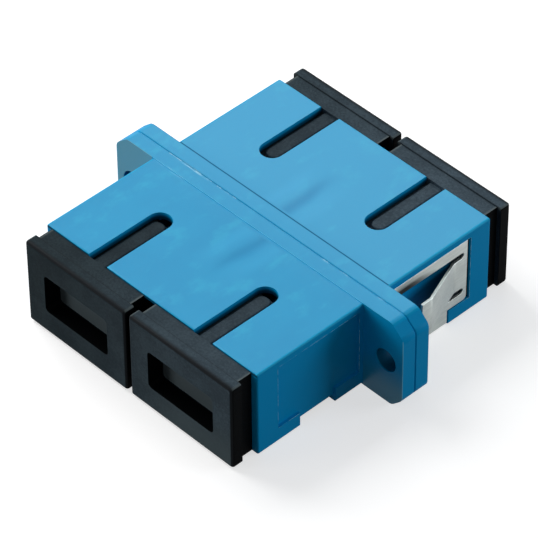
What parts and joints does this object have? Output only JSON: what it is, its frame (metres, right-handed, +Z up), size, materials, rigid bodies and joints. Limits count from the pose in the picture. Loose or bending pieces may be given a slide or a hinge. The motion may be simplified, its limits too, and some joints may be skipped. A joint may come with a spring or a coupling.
{
  "type": "duplex fibre optic adapter",
  "caption": "Flanged panel adapter that joins pairs of fibre optic plugs, with a sprung metal mounting clip and pull-out dust caps.",
  "frame": {"origin": "centre of the weld plane between the two ports, where the fibres meet; centre of the box", "axes": "+X along the flange, +Y along the ports towards the clip's end, +Z up through the key slots"},
  "size_m": [0.0346, 0.0322, 0.0092],
  "materials": {
    "housing": "satin",
    "clip": "satin",
    "insert": "matt",
    "sleeve": "polished ceramic",
    "cap": "matt"
  },
  "bodies": {
    "adapter": {"housing_front": "housing", "housing_rear": "housing", "mounting_clip": "clip", "latch_insert_front_left": "insert", "latch_insert_rear_left": "insert", "latch_insert_front_right": "insert", "latch_insert_rear_right": "insert", "alignment_sleeve_left": "sleeve", "alignment_sleeve_right": "sleeve"},
    "cap_front_left": {"dust_cap_front_left": "cap"},
    "cap_rear_left": {"dust_cap_rear_left": "cap"},
    "cap_front_right": {"dust_cap_front_right": "cap"},
    "cap_rear_right": {"dust_cap_rear_right": "cap"}
  },
  "joints": [
    {"name": "cap_front_left_pull", "type": "slide", "parent": "adapter", "child": "cap_front_left", "axis": [0, -1, 0], "range_m": [0, 0.02]},
    {"name": "cap_rear_left_pull", "type": "slide", "parent": "adapter", "child": "cap_rear_left", "axis": [0, 1, 0], "range_m": [0, 0.02]},
    {"name": "cap_front_right_pull", "type": "slide", "parent": "adapter", "child": "cap_front_right", "axis": [0, -1, 0], "range_m": [0, 0.02]},
    {"name": "cap_rear_right_pull", "type": "slide", "parent": "adapter", "child": "cap_rear_right", "axis": [0, 1, 0], "range_m": [0, 0.02]}
  ]
}
